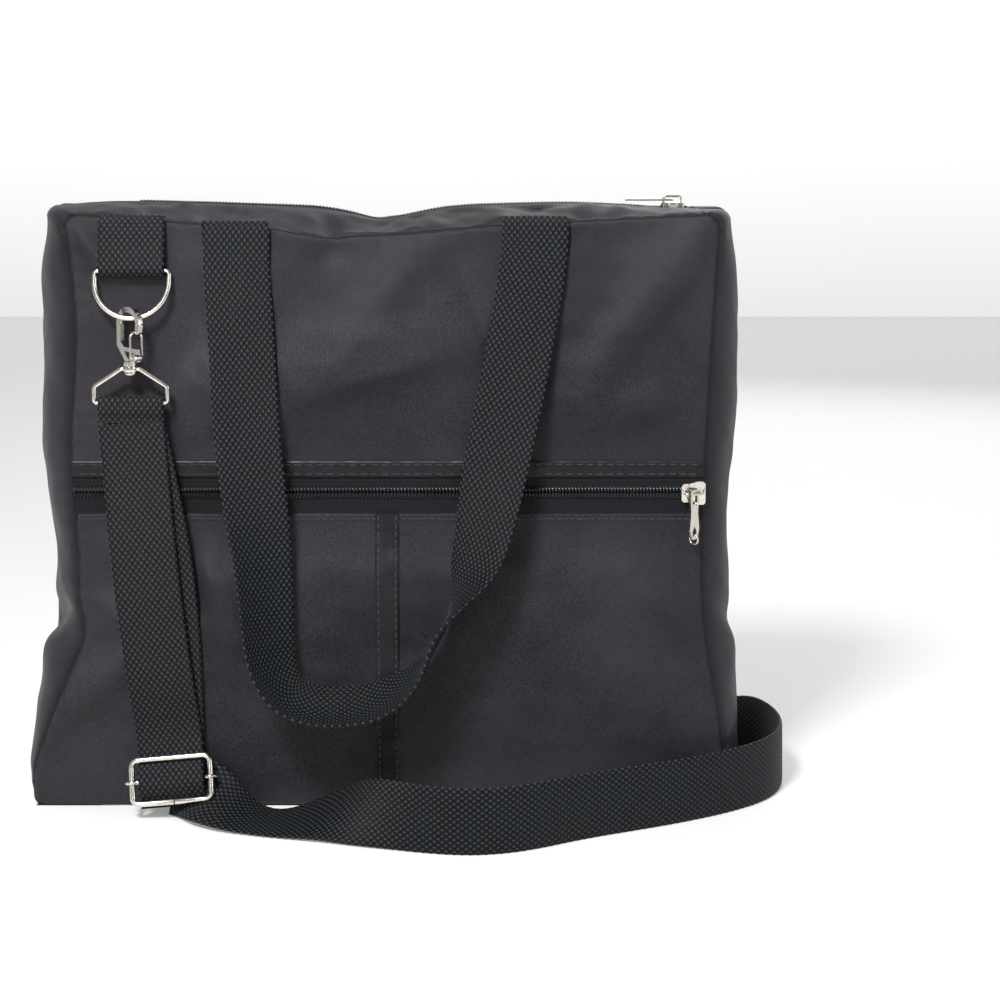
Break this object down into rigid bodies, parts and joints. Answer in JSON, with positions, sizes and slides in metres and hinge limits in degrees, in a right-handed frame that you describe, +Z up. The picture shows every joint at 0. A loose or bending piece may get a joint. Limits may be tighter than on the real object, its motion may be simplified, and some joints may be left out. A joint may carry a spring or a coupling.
{
  "type": "portfolio case",
  "caption": "Zip-top soft portfolio case in black woven cloth with a zipped front pocket, webbing carrying handles and a clip-on shoulder strap with swivel snap hooks.",
  "frame": {"origin": "centre of the flat base on the floor plane, midway between the front and back panels", "axes": "+Z up, front panel with its pocket towards -Y, +X to the right when seen from the front"},
  "size_m": [0.3588, 0.1828, 0.2865],
  "materials": {
    "body_cloth": "coated black twill-woven polyester with a faint sheen",
    "webbing": "coarse woven black webbing with small glints",
    "vinyl_trim": "semi-gloss black vinyl, twin stitched",
    "zip_tape": "fine ribbed black tape",
    "zip_coil": "black nylon coil",
    "nickel": "nickel plate, lightly worn",
    "board": "stiff black board"
  },
  "bodies": {
    "bag": {"back_panel": "body_cloth", "base_board": "board", "centre_trim": "vinyl_trim", "front_upper_panel": "body_cloth", "gusset_bottom": "body_cloth", "gusset_left": "body_cloth", "gusset_right": "body_cloth", "handle_anchors_back": "webbing", "handle_anchors_front": "webbing", "main_zip_chain_ends": "zip_coil", "main_zip_stops": "nickel", "main_zip_tape_ends": "zip_tape", "pocket_backing": "body_cloth", "pocket_panel": "body_cloth", "pocket_zip_chain_lower": "zip_coil", "pocket_zip_chain_upper": "zip_coil", "pocket_zip_tape_lower": "zip_tape", "pocket_zip_tape_upper": "zip_tape", "ring_tab_front": "webbing", "ring_tab_rear": "webbing", "strap_floor_run": "webbing", "strap_inner_layer": "webbing", "strap_outer_layer": "webbing", "strap_rear_run": "webbing", "top_end_left": "body_cloth", "top_end_right": "body_cloth", "zip_trim": "vinyl_trim"},
    "flap_front": {"top_flap_front": "body_cloth", "main_zip_tape_front": "zip_tape", "main_zip_chain_front": "zip_coil"},
    "flap_back": {"top_flap_back": "body_cloth", "main_zip_tape_back": "zip_tape", "main_zip_chain_back": "zip_coil"},
    "main_slider": {"main_zip_slider": "nickel"},
    "main_pull": {"main_zip_pull": "nickel"},
    "pocket_slider": {"pocket_zip_slider": "nickel"},
    "pocket_pull": {"pocket_zip_pull": "nickel"},
    "pull_ring": {"pocket_pull_ring": "nickel"},
    "handle_front": {"handle_front": "webbing"},
    "handle_back": {"handle_back": "webbing"},
    "strap_slider": {"strap_slider_frame": "nickel", "strap_slider_bar": "nickel", "strap_end_eye": "webbing"},
    "ring_front": {"d_ring_front": "nickel"},
    "loop_front": {"swivel_loop_front": "nickel", "strap_fold_front": "webbing"},
    "hook_front": {"hook_body_front": "nickel", "hook_rivet_front": "nickel"},
    "gate_front": {"hook_gate_front": "nickel"},
    "ring_rear": {"d_ring_rear": "nickel"},
    "loop_rear": {"swivel_loop_rear": "nickel", "strap_fold_rear": "webbing"},
    "hook_rear": {"hook_body_rear": "nickel", "hook_rivet_rear": "nickel"},
    "gate_rear": {"hook_gate_rear": "nickel"}
  },
  "joints": [
    {"name": "flap_front_fold", "type": "hinge", "parent": "bag", "child": "flap_front", "pos_m": [0, -0.0389, 0.2763], "axis": [1, 0, 0], "range_deg": [0, 75]},
    {"name": "flap_back_fold", "type": "hinge", "parent": "bag", "child": "flap_back", "pos_m": [0, 0.0389, 0.2763], "axis": [-1, 0, 0], "range_deg": [0, 75]},
    {"name": "main_zip_travel", "type": "slide", "parent": "bag", "child": "main_slider", "axis": [-1, 0, 0], "range_m": [0, 0.271]},
    {"name": "main_pull_swing", "type": "hinge", "parent": "main_slider", "child": "main_pull", "pos_m": [0.1355, 0, 0.28415], "axis": [0, 1, 0], "range_deg": [0, 165]},
    {"name": "pocket_zip_travel", "type": "slide", "parent": "bag", "child": "pocket_slider", "axis": [-1, 0, 0], "range_m": [0, 0.286]},
    {"name": "pocket_pull_swing", "type": "hinge", "parent": "pocket_slider", "child": "pocket_pull", "pos_m": [0.143, -0.0457, 0.15], "axis": [-1, 0, 0], "range_deg": [-4, 120]},
    {"name": "pull_ring_swing", "type": "hinge", "parent": "pocket_pull", "child": "pull_ring", "pos_m": [0.143, -0.0457, 0.12975], "axis": [0.7071, 0.7071, 0], "range_deg": [-25, 25]},
    {"name": "handle_front_swing", "type": "hinge", "parent": "bag", "child": "handle_front", "pos_m": [0, -0.0419, 0.276], "axis": [-1, 0, 0], "range_deg": [0, 176]},
    {"name": "handle_back_swing", "type": "hinge", "parent": "bag", "child": "handle_back", "pos_m": [0, 0.0419, 0.276], "axis": [1, 0, 0], "range_deg": [0, 176]},
    {"name": "strap_adjust", "type": "slide", "parent": "bag", "child": "strap_slider", "axis": [-0.1023, 0.0529, 0.9933], "range_m": [0, 0.09], "deforming": ["strap_outer_layer", "strap_inner_layer"]},
    {"name": "ring_front_swing", "type": "hinge", "parent": "bag", "child": "ring_front", "pos_m": [-0.115, -0.0432, 0.253], "axis": [-1, 0, 0], "range_deg": [0, 40]},
    {"name": "loop_front_swing", "type": "hinge", "parent": "ring_front", "child": "loop_front", "pos_m": [-0.115, -0.04852, 0.23165], "axis": [-1, 0, 0], "range_deg": [-5, 20]},
    {"name": "hook_front_turn", "type": "hinge", "parent": "loop_front", "child": "hook_front", "pos_m": [-0.1155, -0.0487, 0.2085], "axis": [0, 0, -1], "range_deg": [0, 40]},
    {"name": "gate_front_open", "type": "hinge", "parent": "hook_front", "child": "gate_front", "pos_m": [-0.11208, -0.05178, 0.2137], "axis": [-0.6691, -0.7431, 0], "range_deg": [0, 28], "stiffness_Nm_per_rad": 0.004},
    {"name": "ring_rear_swing", "type": "hinge", "parent": "bag", "child": "ring_rear", "pos_m": [0.115, 0.0432, 0.253], "axis": [1, 0, 0], "range_deg": [0, 40]},
    {"name": "loop_rear_swing", "type": "hinge", "parent": "ring_rear", "child": "loop_rear", "pos_m": [0.115, 0.04852, 0.23165], "axis": [1, 0, 0], "range_deg": [-5, 20]},
    {"name": "hook_rear_turn", "type": "hinge", "parent": "loop_rear", "child": "hook_rear", "pos_m": [0.1155, 0.0487, 0.2085], "axis": [0, 0, -1], "range_deg": [0, 40]},
    {"name": "gate_rear_open", "type": "hinge", "parent": "hook_rear", "child": "gate_rear", "pos_m": [0.11208, 0.05178, 0.2137], "axis": [0.6691, 0.7431, 0], "range_deg": [0, 28], "stiffness_Nm_per_rad": 0.004}
  ]
}
